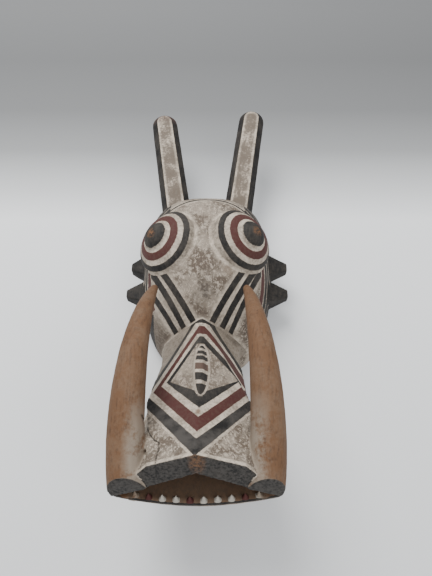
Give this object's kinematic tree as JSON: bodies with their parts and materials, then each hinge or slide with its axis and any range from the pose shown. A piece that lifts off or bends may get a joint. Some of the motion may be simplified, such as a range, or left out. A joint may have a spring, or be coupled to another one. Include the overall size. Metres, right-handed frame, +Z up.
{
  "type": "carved wooden warthog mask",
  "caption": "Carved and painted wooden warthog mask with long upright horns, bulging ringed eyes, side studs, a roof-shaped snout, free-standing curved tusks and an open toothed mouth.",
  "frame": {"origin": "under the middle of the mask's bounding box, on the plane that the sawn rim rests on", "axes": "+Y from the mouth towards the horn tips, +X to the right of someone facing it from the mouth end, +Z up out of the face"},
  "size_m": [0.2002, 0.5124, 0.168],
  "materials": {
    "painted_wood": "matt white clay paint, black and dark red pigment, worn through to brown wood on tusks and edges"
  },
  "bodies": {
    "root": {"mask": "painted_wood"}
  },
  "joints": []
}
